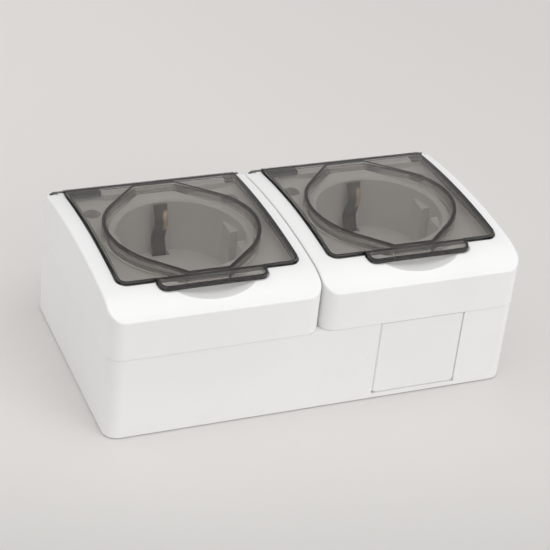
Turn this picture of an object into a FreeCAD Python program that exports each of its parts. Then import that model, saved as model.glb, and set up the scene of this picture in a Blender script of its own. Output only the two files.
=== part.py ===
import FreeCAD, Part
import math
import os

# Double outdoor socket, surface mounted, drawn lying on its back.
# Unit mm. +Z points away from the wall, the lids hinge at +Y, the cable enters at -Y.
# The origin is the centre of the flat back. Sizes grow outwards from the socket well.
V = FreeCAD.Vector
TALL = 150.0

# General
corner_r = 4.6
wall = 2.4
floor_t = 2.4
fit = 0.3
edge_r = 0.6

# Socket well, a separate insert under each cover
well_r = 19.9
well_depth = 17.5
well_wall = 1.6
well_floor_t = 2.4
well_chamfer = 0.6
flange_reach = 0.7
pin_spacing = 19.0
pin_hole_r = 2.8

# Heights, stacked up from the flat back
post_h = 5.6
block_h = 14.8
block_z0 = floor_t + post_h
block_z1 = block_z0 + block_h
well_under_z = block_z1 + fit
well_floor_z = well_under_z + well_floor_t
face_z = well_floor_z + well_depth
recess_z = face_z - 1.0
ceiling_z = recess_z - 2.6
crown_z = face_z + 3.65
lid_top_z = crown_z + 0.85
nose_z = face_z - 2.8
rear_z = face_z - 6.6
cover_drop = 15.6
seam_z = face_z - cover_drop
post_top_z = seam_z - 0.4

# Lid skirt: a circle round the well, pulled out to a short flat at front and rear
skirt_gap = 4.2
skirt_t = 1.4
skirt_r = well_r + skirt_gap
skirt_flat_half = 6.6
skirt_front = skirt_r + 1.8
skirt_rear = skirt_r + 2.8
collar_gap = 0.8
collar_in = skirt_t + collar_gap

# Lid
lid_side = 3.9
lid_half_x = skirt_r + lid_side
lid_front = skirt_front + 0.5
lid_rear = skirt_rear + 2.2
lid_arc_r = 255.0
lid_t = 1.6
lid_corner_r = 3.0
rim_t = 1.2
rim_h = 3.0
tab_half_x = 16.75
tab_out = 4.6
tab_front_y = -lid_front - tab_out
tab_t = 1.35
tab_corner_r = 2.6

# Covers, one per socket outlet
strip_left = 5.1
strip_right = 3.4
lid_gap = 0.5
recess_half_x = lid_half_x + lid_gap
recess_front_y = -lid_front - lid_gap
cover_x0 = -recess_half_x - strip_left
cover_x1 = recess_half_x + strip_right
cover_w = cover_x1 - cover_x0
cover_gap = 0.4
box_w = 2.0 * cover_w + cover_gap
pitch = cover_w + cover_gap
outlet_shift = -(cover_x0 + cover_x1) / 2.0
crown_y = -3.0
crown_r = 219.0
nose_reach = 1.1
nose_run = 10.5
nose_y = lid_front + nose_reach
half_d = nose_y + nose_run
rear_slope = 45.0
blend_r = 2.0
seam_gap = 0.15
seam_in = 0.6

# Hinge: a barrel behind the lid's rear edge and a wire through it, seated in the side strips
barrel_r = 0.75
hinge_back = 1.5
hinge_drop = 1.1
hinge_y = lid_rear + hinge_back
hinge_z = lid_top_z - lid_arc_r + math.sqrt(lid_arc_r ** 2 - (lid_rear - crown_y) ** 2) - hinge_drop
wire_r = 0.4
wire_fit = 0.06
seat_r = 0.85
seat_x0 = recess_half_x
seat_x1 = seat_x0 + 1.6
hook_x = seat_x0 + 3.6
hook_bend = 0.8
hook_reach = 1.6
stop_gap = 0.5
stop_left = (-lid_half_x + fit, -17.3)
stop_right = (lid_half_x - 4.3, lid_half_x - fit)
stop_z = face_z
stop_y = (lid_rear - 3.2, lid_rear - 0.5)

# Upstand of the cover in front of the hinge, with a round-topped knob at its right end
upstand_y = (skirt_rear - 1.9, skirt_rear - 0.3)
upstand_x = (stop_left[1] + stop_gap, stop_right[0] - stop_gap)
upstand_z = recess_z + 1.7
knob_w = 1.9
knob_y1 = upstand_y[1] + 0.8

# Guide ribs on the side walls of the well
rib_gap_half = 2.8
rib_in = well_r - 2.7
rib_top_z = face_z - 3.5
rib_chamfer = 0.5

# Finger scoop under the grip tab
scoop_y = -lid_front - 2.6
scoop_r = 34.2
scoop_floor_z = recess_z + 0.05

# Cover screws
screw_x = well_r + 2.6
screw_y = 18.0
screw_recess_r = 2.65
screw_recess_z = recess_z - 5.6
screw_head_r = 2.4
screw_head_h = 1.9
screw_shank_r = 1.5
screw_length = 17.0
boss_wall = 0.7

# Base box, a hair smaller than the covers so that the seam throws a shadow
base_inset = 0.12
rim_rebate = 1.2
rebate_depth = 1.6
partition_half = 3.2
post_half = 3.2
pilot_r = 1.3
pilot_z = 12.0
passage_y = (-14.0, 2.0, 20.0)
passage_half = 3.0
passage_z = (6.0, 18.0)
BASE_W = box_w - 2 * base_inset
BASE_D = 2 * (half_d - base_inset)

# Mechanism block
block_half_x = well_r - 2.4
block_half_y = well_r - 2.9
block_corner_r = 3.0
contact_x = pin_spacing / 2.0
pocket_half_x = 3.8
pocket_y0 = -4.6
pocket_y1 = block_half_y - 2.0
pocket_floor_z = block_z0 + 2.4
mech_front_y = -(well_r - 7.5)
mech_rear_y = well_r - 6.5
mech_seat_z = block_z0 + 5.0
mech_length = 11.0
clamp_y = pocket_y1 - 4.4

# Line contacts in the pockets
leaf_t = 0.8
leaf_half = 2.9
leaf_bend_h = 5.0
leaf_pinch = 2.2
leaf_pinch_h = 8.5
leaf_mouth = 3.3
leaf_w = 7.6
clamp_h = 8.4

# Earth strap
strap_half = 2.4
strap_t = 0.8
strap_foot_y = well_r - 2.8
strap_wall_y = well_r - 0.6
strap_top_z = face_z - 1.5
strap_bulge_y = well_r - 3.2
strap_bulge_z = face_z - 6.4

# Cable entry plate in the front wall under the right outlet
plate_half = 14.05
plate_z0 = 1.6
plate_gap = 0.12
plate_t = 2.6
plate_corner_r = 1.5
plate_edge_r = 0.5
flange_half = 16.4
flange_t = 1.8
rail_t = 1.8
knockout_r = 10.0

# Wall fixing slots in the back
slot_x = 40.0
slot_y = 24.5
slot_r = 2.3
slot_len = 5.0


def block(x0, x1, y0, y1, z0, z1):
    """Box between two corners."""
    return Part.makeBox(x1 - x0, y1 - y0, z1 - z0, V(x0, y0, z0))


def rod(r, x, y, z0, z1):
    """Upright cylinder."""
    return Part.makeCylinder(r, z1 - z0, V(x, y, z0))


def rod_x(r, x0, x1, y, z):
    """Cylinder along X."""
    return Part.makeCylinder(r, x1 - x0, V(x0, y, z), V(1, 0, 0))


def rod_y(r, x, y0, y1, z):
    """Cylinder along Y."""
    return Part.makeCylinder(r, y1 - y0, V(x, y0, z), V(0, 1, 0))


def rounded(x0, x1, y0, y1, z0, z1, radii):
    """Upright box with its corners rounded: radii for (x0,y0), (x1,y0), (x1,y1), (x0,y1)."""
    solid = block(x0, x1, y0, y1, z0, z1)
    corners = [(x0, y0), (x1, y0), (x1, y1), (x0, y1)]
    for (cx, cy), r in zip(corners, radii):
        if r <= 0:
            continue
        sx = 1 if cx == x0 else -1
        sy = 1 if cy == y0 else -1
        xa, xb = sorted((cx, cx + sx * r))
        ya, yb = sorted((cy, cy + sy * r))
        bite = block(xa, xb, ya, yb, z0, z1).cut(rod(r, cx + sx * r, cy + sy * r, z0, z1))
        solid = solid.cut(bite)
    return solid


def post(x, y, half, z0, z1):
    """Upright square post."""
    return block(x - half, x + half, y - half, y + half, z0, z1)


def moved(shape, dx, dy=0.0, dz=0.0):
    """Copy of a shape moved by a distance."""
    out = shape.copy()
    out.translate(V(dx, dy, dz))
    return out


def outlet_x(side):
    """Middle of the left (-1) or right (1) outlet."""
    return side * pitch / 2.0 + outlet_shift


def near_edges(shape, test):
    """Edges whose midpoint passes a test."""
    found = []
    for edge in shape.Edges:
        mid = edge.valueAt((edge.FirstParameter + edge.LastParameter) / 2.0)
        if test(mid, edge):
            found.append(edge)
    return found


def crown_height(y):
    """Height of the cover's crowned top at a depth."""
    return crown_z - crown_r + math.sqrt(crown_r ** 2 - (y - crown_y) ** 2)


def lid_height(y):
    """Height of the lid's top at a depth."""
    return lid_top_z - lid_arc_r + math.sqrt(lid_arc_r ** 2 - (y - crown_y) ** 2)


def arc_between(centre_y, centre_z, r, a0, a1, x):
    """Arc in the YZ plane, angles from the Z axis towards +Y."""
    pts = []
    for a in (a0, (a0 + a1) / 2.0, a1):
        pts.append(V(x, centre_y + r * math.sin(a), centre_z + r * math.cos(a)))
    return Part.Arc(*pts).toShape()


def cover_profile(x):
    """Closed side outline of a cover: crown arc, rear slope, front nose."""
    a2 = math.radians(rear_slope)
    zc = crown_z - crown_r
    d = half_d * math.sin(a2) + rear_z * math.cos(a2)
    reach = (d - blend_r - crown_y * math.sin(a2) - zc * math.cos(a2)) / (crown_r - blend_r)
    a1 = a2 - math.acos(reach)
    blend_y = crown_y + (crown_r - blend_r) * math.sin(a1)
    blend_z = zc + (crown_r - blend_r) * math.cos(a1)
    a0 = math.asin((-nose_y - crown_y) / crown_r)
    start = V(x, -nose_y, crown_height(-nose_y))
    end = V(x, -half_d, nose_z)
    # the nose leaves the crown smoothly and meets the front with a soft crease
    chord = end - start
    turn = math.atan2(-chord.z, -chord.y) - abs(a0)
    nose_r = chord.Length / (2.0 * math.sin(turn))
    ny = start.y + nose_r * math.sin(abs(a0))
    nz = start.z - nose_r * math.cos(a0)
    mid_a = -(abs(a0) + turn)
    mid = V(x, ny + nose_r * math.sin(mid_a), nz + nose_r * math.cos(mid_a))
    edges = [arc_between(crown_y, zc, crown_r, a0, a1, x)]
    edges.append(arc_between(blend_y, blend_z, blend_r, a1, a2, x))
    line_start = V(x, blend_y + blend_r * math.sin(a2), blend_z + blend_r * math.cos(a2))
    rear_top = V(x, half_d, rear_z)
    rear_foot = V(x, half_d, seam_z)
    front_foot = V(x, -half_d, seam_z)
    edges.append(Part.makeLine(line_start, rear_top))
    edges.append(Part.makeLine(rear_top, rear_foot))
    edges.append(Part.makeLine(rear_foot, front_foot))
    edges.append(Part.makeLine(front_foot, end))
    edges.append(Part.Arc(end, mid, start).toShape())
    return Part.Wire(Part.__sortEdges__(edges))


def skirt_outline(grow):
    """Plan of the lid's skirt: a circle pulled out to a short flat at front and rear."""
    r = skirt_r + grow
    half = skirt_flat_half + 0.35 * grow
    flats = {1: skirt_rear + grow, -1: -skirt_front - grow}
    tangent = {}
    for sign, fy in flats.items():
        d = math.hypot(half, fy)
        phi = math.atan2(abs(fy), half)
        a = phi - math.acos(r / d)
        tangent[sign] = (r * math.cos(a), sign * r * math.sin(a))
    (tx, ty), (bx, by) = tangent[1], tangent[-1]
    p = [V(half, flats[1], 0), V(tx, ty, 0), V(r, 0, 0), V(bx, by, 0), V(half, flats[-1], 0)]
    q = [V(-v.x, v.y, 0) for v in p]
    edges = [Part.makeLine(p[0], p[1]), Part.Arc(p[1], p[2], p[3]).toShape()]
    edges += [Part.makeLine(p[3], p[4]), Part.makeLine(p[4], q[4])]
    edges += [Part.makeLine(q[4], q[3]), Part.Arc(q[3], q[2], q[1]).toShape()]
    edges += [Part.makeLine(q[1], q[0]), Part.makeLine(q[0], p[0])]
    return Part.Face(Part.Wire(Part.__sortEdges__(edges)))


def skirt_prism(grow, z0, z1):
    """Prism on the skirt's plan."""
    face = skirt_outline(grow)
    face.translate(V(0, 0, z0))
    return face.extrude(V(0, 0, z1 - z0))


def base_posts(side):
    """Posts for the cover screws and the mechanism screws of one outlet."""
    cx = outlet_x(side)
    posts = []
    for sx in (-1, 1):
        posts.append(post(cx + sx * screw_x, screw_y, post_half, floor_t - 0.5, post_top_z))
    for y in (mech_front_y, mech_rear_y):
        posts.append(post(cx, y, post_half, floor_t - 0.5, block_z0))
    return posts


def base_pilots(side):
    """Pilot holes in the posts of one outlet."""
    cx = outlet_x(side)
    r = screw_shank_r + 0.05
    holes = []
    for sx in (-1, 1):
        holes.append(rod(r, cx + sx * screw_x, screw_y, pilot_z, post_top_z + 1))
    for y in (mech_front_y, mech_rear_y):
        holes.append(rod(r, cx, y, 1.0, block_z0 + 1))
    return holes


def base_room(side, grow, z0, z1):
    """Inside space of one half of the base, widened by a distance."""
    hw = BASE_W / 2.0
    hd = BASE_D / 2.0
    inner = corner_r - base_inset - wall
    xa, xb = sorted((side * partition_half, side * (hw - wall)))
    out = (1.0, inner) if side > 0 else (inner, 1.0)
    radii = (out[0] + grow, out[1] + grow, out[1] + grow, out[0] + grow)
    y = hd - wall + grow
    return rounded(xa - grow, xb + grow, -y, y, z0, z1, radii)


def wall_slot(cx, cy, r, z0, z1):
    """Long round-ended slot."""
    half = slot_len / 2.0
    shape = block(cx - half, cx + half, cy - r, cy + r, z0, z1)
    return shape.fuse(rod(r, cx - half, cy, z0, z1)).fuse(rod(r, cx + half, cy, z0, z1))


def base_box():
    """Hollow base with a partition, rebated rim, screw posts and wall slots."""
    hw = BASE_W / 2.0
    hd = BASE_D / 2.0
    r = corner_r - base_inset
    body = rounded(-hw, hw, -hd, hd, 0, seam_z, (r, r, r, r))
    for side in (-1, 1):
        body = body.cut(base_room(side, 0.0, floor_t, seam_z + 1))
        body = body.cut(base_room(side, rim_rebate, seam_z - rebate_depth, seam_z + 1))
        for pillar in base_posts(side):
            body = body.fuse(pillar)
        for hole in base_pilots(side):
            body = body.cut(hole)
    # wire passages through the partition
    for y in passage_y:
        body = body.cut(block(-partition_half - 1, partition_half + 1, y - passage_half,
                              y + passage_half, *passage_z))
    # long slots to the wall with a raised pad
    for sx in (-1, 1):
        for sy in (-1, 1):
            cx = sx * slot_x
            cy = sy * slot_y
            half = slot_len / 2.0 + 4.2
            pad = block(cx - half, cx + half, cy - 4.4, cy + 4.4, floor_t - 0.2, floor_t + 1.0)
            body = body.fuse(pad).cut(wall_slot(cx, cy, slot_r, -1, 6))
    # notch for the cable entry plate with two rails behind the wall
    px = outlet_x(1)
    inner_y = -hd + wall
    rail_y = inner_y + flange_t + 2 * plate_gap + rail_t
    for sx in (-1, 1):
        outer = sx * (flange_half + plate_gap + rail_t)
        xa, xb = sorted((px + sx * (plate_half + 1.1), px + outer))
        body = body.fuse(block(xa, xb, inner_y - 0.2, rail_y, floor_t - 0.2, seam_z - rebate_depth))
    reach = flange_half + plate_gap
    body = body.cut(block(px - reach, px + reach, inner_y - 0.02, inner_y + flange_t + 2 * plate_gap,
                          floor_t, seam_z + 1))
    half = plate_half + plate_gap
    body = body.cut(block(px - half, px + half, -hd - 1, inner_y + 2 * plate_gap, plate_z0 - plate_gap,
                          seam_z + 1))
    # round knockouts thinned from inside in the rear wall
    for side in (-1, 1):
        body = body.cut(rod_y(8.0, outlet_x(side), hd - wall - 0.01, hd - 1.0, seam_z / 2.0 + 0.8))
    return body.removeSplitter()


def seal_frame(side):
    """Flat rubber frame lying in the rebate of one half of the base."""
    z0 = seam_z - rebate_depth
    frame = base_room(side, rim_rebate - 0.1, z0, seam_z)
    frame = frame.cut(base_room(side, 0.0, z0 - 1, seam_z + 1))
    if side > 0:
        px = outlet_x(1)
        reach = flange_half + rail_t + 1
        frame = frame.cut(block(px - reach, px + reach, -half_d - 1, -half_d + wall + 3, z0 - 1, seam_z + 1))
    return frame


def cable_plate():
    """Cable entry plate: outer panel, inner flange in the rails, thinned round centre."""
    px = outlet_x(1)
    hd = BASE_D / 2.0
    inner_y = -hd + wall
    top = seam_z - 0.1
    panel = block(px - plate_half, px + plate_half, -hd, inner_y + plate_gap, plate_z0, top)
    low = plate_z0 + 1e-6
    bottom = near_edges(panel, lambda m, e: m.z < low and abs(abs(m.x - px) - plate_half) < 1e-6)
    panel = panel.makeFillet(plate_corner_r, bottom)
    front = near_edges(panel, lambda m, e: abs(m.y + hd) < 1e-6 and m.z < top - 0.01)
    panel = panel.makeChamfer(plate_edge_r, front)
    flange = block(px - flange_half, px + flange_half, inner_y + plate_gap,
                   inner_y + plate_gap + flange_t, floor_t + plate_gap, top)
    plate = panel.fuse(flange)
    middle = (seam_z + floor_t) / 2.0
    # thin round skin with a low ring for the cable gland
    plate = plate.cut(rod_y(knockout_r, px, -hd + 1.2, 0.0, middle))
    ring = rod_y(knockout_r - 2.0, px, -hd + 1.1, -hd + 1.8, middle)
    return plate.fuse(ring).removeSplitter()


def guide_ribs():
    """Guide ribs on both sides of the well: flat inner faces with a sloped top."""
    ring = rod(well_r + 0.4, 0, 0, well_floor_z - 0.2, rib_top_z)
    inner = rib_in + rib_chamfer
    prof = [V(rib_in, 0, 0), V(well_r + 1, 0, 0), V(well_r + 1, 0, rib_top_z)]
    prof += [V(inner, 0, rib_top_z), V(rib_in, 0, rib_top_z - rib_chamfer)]
    bar = Part.Face(Part.makePolygon(prof + [prof[0]])).extrude(V(0, well_r, 0))
    bar.translate(V(0, rib_gap_half, 0))
    rib = bar.common(ring)
    ribs = []
    for nx, ny in ((1, 1), (1, -1), (-1, 1), (-1, -1)):
        one = rib.copy()
        if nx < 0:
            one = one.mirror(V(0, 0, 0), V(1, 0, 0))
        if ny < 0:
            one = one.mirror(V(0, 0, 0), V(0, 1, 0))
        ribs.append(one)
    return ribs


def well_insert():
    """Socket well: deep round cup with a floor, guide ribs, collar and a sealing flange."""
    body = skirt_prism(-collar_in, well_under_z, face_z)
    flange = skirt_prism(-collar_in + flange_reach, ceiling_z - fit - 1.6, ceiling_z - fit)
    body = body.fuse(flange)
    body = body.cut(rod(well_r, 0, 0, well_floor_z, TALL))
    lead = Part.makeCone(well_r, well_r + well_chamfer, well_chamfer, V(0, 0, face_z - well_chamfer))
    body = body.cut(lead)
    for rib in guide_ribs():
        body = body.fuse(rib)
    floor = (well_under_z - 1, well_floor_z + 1)
    for sx in (-1, 1):
        body = body.cut(rod(pin_hole_r, sx * contact_x, 0, *floor))
    # slots for the earth strap
    half = strap_half + 0.4
    for sy in (-1, 1):
        ya, yb = sorted((sy * (strap_foot_y - 1.2), sy * (strap_foot_y + 1.4)))
        body = body.cut(block(-half, half, ya, yb, *floor))
    body = body.cut(rod(screw_shank_r + 0.2, 0, 0, *floor))
    sink = Part.makeCone(screw_shank_r + 0.2, screw_head_r + 0.25, 1.6, V(0, 0, well_floor_z - 1.6))
    return body.cut(sink).removeSplitter()


def finger_scoop():
    """Ball that presses the finger scoop into the crown under the tab."""
    return Part.makeSphere(scoop_r, V(0, scoop_y, scoop_floor_z + scoop_r))


def cover_shell():
    """Crowned outer shell of a cover with rounded edges, hollow from below."""
    hw = cover_w / 2.0
    body = Part.Face(cover_profile(-hw)).extrude(V(cover_w, 0, 0))
    plan = rounded(-hw, hw, -half_d, half_d, 0, TALL, (corner_r,) * 4)
    body = body.common(plan).removeSplitter()
    rim = near_edges(body, lambda m, e: m.z > rear_z - 1.0 and abs(m.x) > 1.0 and
                     abs(abs(m.x) - hw) < corner_r and e.Length > 0.5)
    body = body.makeFillet(edge_r, rim)
    r_in = corner_r - wall
    x = hw - wall
    y = half_d - wall
    body = body.cut(rounded(-x, x, -y, y, seam_z - 1, rear_z - wall, (r_in,) * 4))
    body = body.cut(rounded(-x, x, -y, y - (ceiling_z - rear_z), seam_z - 1, ceiling_z,
                            (r_in, r_in, 1.0, 1.0)))
    # shadow gap along the outside of the seam
    x = hw - seam_in
    y = half_d - seam_in
    gap = block(-hw - 1, hw + 1, -half_d - 1, half_d + 1, seam_z - 1, seam_z + seam_gap)
    gap = gap.cut(rounded(-x, x, -y, y, seam_z - 1, seam_z + seam_gap, (corner_r - seam_in,) * 4))
    return moved(body.cut(gap), -outlet_shift)


def hinge_seats():
    """Open-topped seats of the hinge wire on the side strips."""
    foot = recess_z - 1.0
    seats = []
    for x0, x1 in ((-seat_x1, -seat_x0), (seat_x0, seat_x1)):
        seats.append(block(x0, x1, hinge_y - seat_r, hinge_y + seat_r, foot, hinge_z))
    return seats


def upstand():
    """Upstand in front of the hinge, open where the skirt's tip passes, with its knob."""
    low = recess_z - 0.5
    up = block(upstand_x[0], upstand_x[1], upstand_y[0], upstand_y[1], low, upstand_z)
    up = up.cut(skirt_prism(0.7, recess_z, TALL))
    r = knob_w / 2.0
    knob_x = upstand_x[1] - r
    knob = rod(r, knob_x, knob_y1 - r, low, upstand_z)
    knob = knob.fuse(block(knob_x - r, knob_x + r, upstand_y[0], knob_y1 - r, low, upstand_z))
    return up.fuse(knob)


def cover():
    """One cover: crowned shell with lid recess, round opening, hinge seats and screw bosses."""
    body = cover_shell()
    r = lid_corner_r + 0.4
    body = body.cut(rounded(-recess_half_x, recess_half_x, recess_front_y, half_d + 5, recess_z, TALL,
                            (r, r, 0, 0)))
    body = body.fuse(upstand())
    body = body.cut(skirt_prism(-collar_in + fit, ceiling_z - 1, TALL))
    # screw bosses beside the well
    for sx in (-1, 1):
        x = sx * screw_x
        half = screw_recess_r + boss_wall
        body = body.fuse(post(x, screw_y, half, post_top_z + fit, ceiling_z + 0.5))
        body = body.cut(rod(screw_recess_r, x, screw_y, screw_recess_z, TALL))
        body = body.cut(rod(screw_shank_r + 0.2, x, screw_y, 0, TALL))
    # finger scoop and shallow seat for the grip tab
    body = body.cut(finger_scoop())
    seat_z = lid_height(tab_front_y) - tab_t - fit
    seat_r = tab_corner_r + 0.5
    x = tab_half_x + 0.5
    body = body.cut(rounded(-x, x, tab_front_y - 0.5, recess_front_y + 1, seat_z, TALL,
                            (seat_r, seat_r, 0, 0)))
    for seat in hinge_seats():
        body = body.fuse(seat)
    body = body.cut(rod_x(wire_r + wire_fit, -hook_x, seat_x1 - fit, hinge_y, hinge_z))
    # pocket for the hook of the hinge wire
    gap = wire_r + fit
    body = body.cut(block(-hook_x - gap, -hook_x + hook_bend, hinge_y - gap, hinge_y + gap,
                          hinge_z - hook_reach - fit, TALL))
    # tongues that catch behind the front wall of the base
    inner_y = -BASE_D / 2.0 + wall + fit
    for sx in (-1, 1):
        xa, xb = sorted((sx * (screw_x - 2.4), sx * (screw_x + 2.2)))
        body = body.fuse(block(xa, xb, inner_y, inner_y + 1.6, seam_z - 4.5, ceiling_z + 0.5))
    return body.removeSplitter()


def lid():
    """Arched clear lid: plate, hanging rim, skirt round the well, grip tab and hinge barrel."""
    wide = pitch
    zc = lid_top_z - lid_arc_r
    top = rod_x(lid_arc_r, -wide, wide, crown_y, zc)
    under = rod_x(lid_arc_r - lid_t, -wide - 1, wide + 1, crown_y, zc)
    low = rod_x(lid_arc_r - rim_h, -wide - 1, wide + 1, crown_y, zc)
    r = lid_corner_r
    plan = rounded(-lid_half_x, lid_half_x, -lid_front, lid_rear, recess_z - 5, TALL, (r, r, 0, 0))
    inside = rounded(-lid_half_x + rim_t, lid_half_x - rim_t, -lid_front + rim_t, lid_rear + 5,
                     recess_z - 6, TALL + 1, (r - rim_t, r - rim_t, 0, 0))
    slab = plan.common(top)
    body = slab.cut(under).fuse(slab.cut(low).cut(inside))
    skirt = skirt_prism(0.0, recess_z + fit, TALL).cut(skirt_prism(-skirt_t, recess_z - 1, TALL + 1))
    body = body.fuse(skirt.common(rod_x(lid_arc_r - lid_t / 2, -wide, wide, crown_y, zc)))
    tab = rounded(-tab_half_x, tab_half_x, tab_front_y, -lid_front + 1.0, recess_z - 5, TALL,
                  (tab_corner_r, tab_corner_r, 0, 0))
    tab = tab.common(top).cut(rod_x(lid_arc_r - tab_t, -wide - 1, wide + 1, crown_y, zc))
    body = body.fuse(tab)
    for x0, x1 in (stop_left, stop_right):
        stop = block(x0, x1, stop_y[0], stop_y[1], stop_z, lid_top_z)
        body = body.fuse(stop.common(rod_x(lid_arc_r - lid_t / 2, -wide, wide, crown_y, zc)))
    body = body.fuse(rod_x(barrel_r, -lid_half_x, lid_half_x, hinge_y, hinge_z))
    body = body.fuse(block(-lid_half_x, lid_half_x, lid_rear - 0.6, hinge_y,
                           hinge_z - barrel_r, hinge_z + barrel_r))
    body = body.cut(rod_x(wire_r + wire_fit, -wide, wide, hinge_y, hinge_z))
    return body.removeSplitter()


def hinge_wire():
    """Hinge wire with its left end bent down into the cover's side strip."""
    start = V(seat_x1 - fit - 0.2, hinge_y, hinge_z)
    corners = [start, V(-hook_x + hook_bend, hinge_y, hinge_z)]
    corners.append(V(-hook_x, hinge_y, hinge_z - 0.5 * hook_bend))
    corners.append(V(-hook_x, hinge_y, hinge_z - hook_reach))
    ring = Part.Wire([Part.makeCircle(wire_r, start, V(1, 0, 0))])
    return Part.Wire(Part.makePolygon(corners)).makePipeShell([ring], True, False, 1)


def mechanism_block():
    """Insulating block under the well with contact pockets and an earth channel."""
    x = block_half_x
    y = block_half_y
    over = block_z1 + 1
    body = rounded(-x, x, -y, y, block_z0, block_z1, (block_corner_r,) * 4)
    for sx in (-1, 1):
        c = sx * contact_x
        body = body.cut(block(c - pocket_half_x, c + pocket_half_x, pocket_y0, pocket_y1,
                              pocket_floor_z, over))
        body = body.cut(block(c - 1.9, c + 1.9, pocket_y1 - 1, y + 1, pocket_floor_z + 2.2,
                              pocket_floor_z + 6.6))
    half = strap_half + 0.4
    body = body.cut(block(-half, half, -y - 1, y + 1, block_z1 - 1.4, over))
    body = body.cut(rod(screw_shank_r + 0.05, 0, 0, block_z0 + 3, over))
    for py in (mech_front_y, mech_rear_y):
        body = body.cut(rod(screw_shank_r + 0.2, 0, py, block_z0 - 1, over))
        body = body.cut(rod(screw_head_r + 0.3, 0, py, mech_seat_z, over))
    return body


def contact():
    """Line contact: two sprung leaves under the pin hole and a screw clamp behind them."""
    z0 = pocket_floor_z
    t = leaf_t
    reach = leaf_w / 2.0
    clamp_z = z0 + clamp_h / 2.0
    base = block(-leaf_half, leaf_half, -reach, clamp_y - 5.5, z0, z0 + t)
    pts = [(leaf_half, z0), (leaf_half, z0 + leaf_bend_h), (leaf_pinch + t, z0 + leaf_pinch_h)]
    pts.append((leaf_mouth, block_z1 - 1.2))
    outline = pts + [(px - t, pz) for px, pz in pts][::-1]
    leaves = []
    for sx in (-1, 1):
        poly = [V(sx * px, -reach, pz) for px, pz in outline]
        leaves.append(Part.Face(Part.makePolygon(poly + [poly[0]])).extrude(V(0, leaf_w, 0)))
    clamp = block(-3.2, 3.2, clamp_y - 5.6, clamp_y + 3.6, z0, z0 + clamp_h)
    clamp = clamp.cut(rod_y(1.6, 0, clamp_y - 2.6, clamp_y + 5, clamp_z))
    clamp = clamp.cut(rod(1.3, 0, clamp_y, clamp_z, z0 + clamp_h + 1))
    return base.fuse(leaves[0]).fuse(leaves[1]).fuse(clamp).removeSplitter()


def clamp_screw():
    """Slotted grub screw of a line clamp."""
    z0 = pocket_floor_z + 5.4
    slot = block(-3, 3, clamp_y - 0.3, clamp_y + 0.3, z0 + 4.0, z0 + 6)
    return rod(1.25, 0, clamp_y, z0, z0 + 5.0).cut(slot)


def earth_strap():
    """Earth strap: under the floor, up through it and along the well wall, bulged inwards."""
    z = block_z1 - 1.2
    t = strap_t

    def side_points(off):
        """Outline of one upright leg, shifted inwards by a distance."""
        foot = strap_foot_y - off
        side = strap_wall_y - off
        peak = strap_bulge_y - off + t
        points = [(foot, z + off), (foot, well_floor_z + 0.6), (side, well_floor_z + 4.2)]
        points += [(side - 0.2, strap_bulge_z - 5.2), (peak, strap_bulge_z - 1.0)]
        return points + [(peak, strap_bulge_z + 0.8), (side, strap_top_z)]

    outer = side_points(0.0)
    inner = side_points(t)
    path = [(-y, zz) for y, zz in outer][::-1] + outer
    path += inner[::-1] + [(-y, zz) for y, zz in inner]
    pts = [V(-strap_half, y, zz) for y, zz in path]
    body = Part.Face(Part.makePolygon(pts + [pts[0]])).extrude(V(2 * strap_half, 0, 0))
    body = body.cut(rod(screw_shank_r + 0.25, 0, 0, 0, TALL))
    for py in (mech_front_y, mech_rear_y):
        body = body.cut(post(0, py, 1.6, 0, z + 2 * t))
    return body


def screw(head_z, length, flat, driven):
    """Screw with its head's top at head_z, countersunk or round, with or without a cross slot."""
    if flat:
        head = Part.makeCone(screw_shank_r, screw_head_r, 1.4, V(0, 0, head_z - 1.4))
    else:
        head = rod(screw_head_r, 0, 0, head_z - screw_head_h, head_z)
    body = head.fuse(rod(screw_shank_r, 0, 0, head_z - length, head_z - 0.5))
    if driven:
        for half_x, half_y in ((1.7, 0.35), (0.35, 1.7)):
            body = body.cut(block(-half_x, half_x, -half_y, half_y, head_z - 1.0, head_z + 1))
    return body.removeSplitter()


def pair(shape):
    """The same piece on the left and the right outlet."""
    return [moved(shape, outlet_x(-1)), moved(shape, outlet_x(1))]


def write(name, shape):
    """Write one piece as STEP."""
    shape.exportStep("parts/" + name + ".step")


def build():
    """Build and write every piece."""
    os.makedirs("parts", exist_ok=True)
    write("base_box", base_box())
    write("box_seal", Part.Compound([seal_frame(-1), seal_frame(1)]))
    write("cable_entry_plate", cable_plate())
    sets = {
        "cover": cover(),
        "well_insert": well_insert(),
        "lid": lid(),
        "hinge_wire": hinge_wire(),
        "mechanism_block": mechanism_block(),
        "earth_strap": earth_strap(),
        "live_contact": moved(contact(), -contact_x),
        "neutral_contact": moved(contact(), contact_x),
    }
    for name, shape in sets.items():
        for side, placed in zip(("left", "right"), pair(shape)):
            write(name + "_" + side, placed)
    clamps = []
    for sx in (-1, 1):
        clamps += pair(moved(clamp_screw(), sx * contact_x))
    write("clamp_screws", Part.Compound(clamps))
    cover_screw = screw(screw_recess_z + screw_head_h, screw_length, False, True)
    holders = []
    for sx in (-1, 1):
        holders += pair(moved(cover_screw, sx * screw_x, screw_y))
    write("cover_screws", Part.Compound(holders))
    mech_screw = screw(mech_seat_z + screw_head_h, mech_length, False, False)
    fixings = []
    for y in (mech_front_y, mech_rear_y):
        fixings += pair(moved(mech_screw, 0.0, y))
    write("mechanism_screws", Part.Compound(fixings))
    well_screw = screw(well_floor_z - 0.2, 8.0, True, True)
    write("well_screws", Part.Compound(pair(well_screw)))


build()
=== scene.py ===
"""Looks of a double outdoor socket with smoky lids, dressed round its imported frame."""

import logging
import math
from dataclasses import dataclass
from enum import Enum
from functools import partial
from typing import Any, Callable, Dict, List, Optional, Sequence, Tuple, Union

import bmesh
import bpy
from mathutils import Euler, Matrix, Vector


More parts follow.
